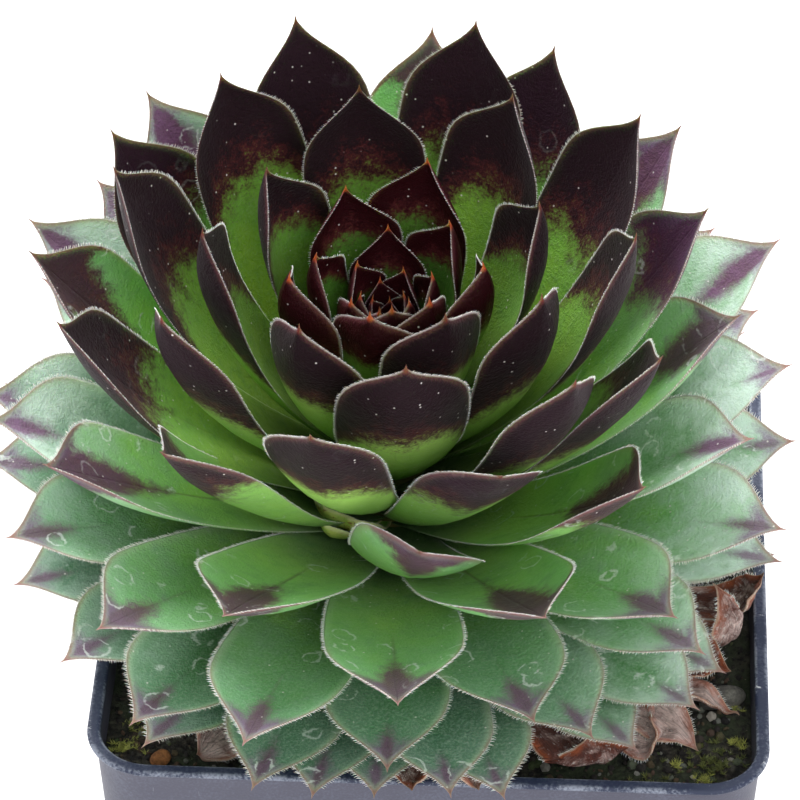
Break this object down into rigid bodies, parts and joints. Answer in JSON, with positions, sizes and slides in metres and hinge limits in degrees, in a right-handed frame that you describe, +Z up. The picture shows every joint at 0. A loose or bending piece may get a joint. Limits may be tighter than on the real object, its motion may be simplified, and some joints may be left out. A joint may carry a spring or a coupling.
{
  "type": "potted houseleek",
  "caption": "Potted houseleek: one dense rosette of pointed fleshy leaves, dark at the heart and green outside, in a square black plastic pot of soil with dry leaves below it.",
  "frame": {"origin": "middle of the pot's underside", "axes": "+Z up from the pot's underside to the rosette, -Y to the front, the side the rosette leans to, +X to the right"},
  "size_m": [0.1098, 0.1132, 0.15],
  "materials": {
    "black_plastic": "satin",
    "potting_soil": "matte",
    "leaf_flesh": "satin",
    "dry_leaf": "matte",
    "grey_stone": "matte",
    "brown_stone": "matte"
  },
  "bodies": {
    "root": {"pot": "black_plastic", "potting_soil": "potting_soil", "rosette": "leaf_flesh", "withered_leaves": "dry_leaf", "grey_stone": "grey_stone", "brown_stone": "brown_stone"}
  },
  "joints": []
}
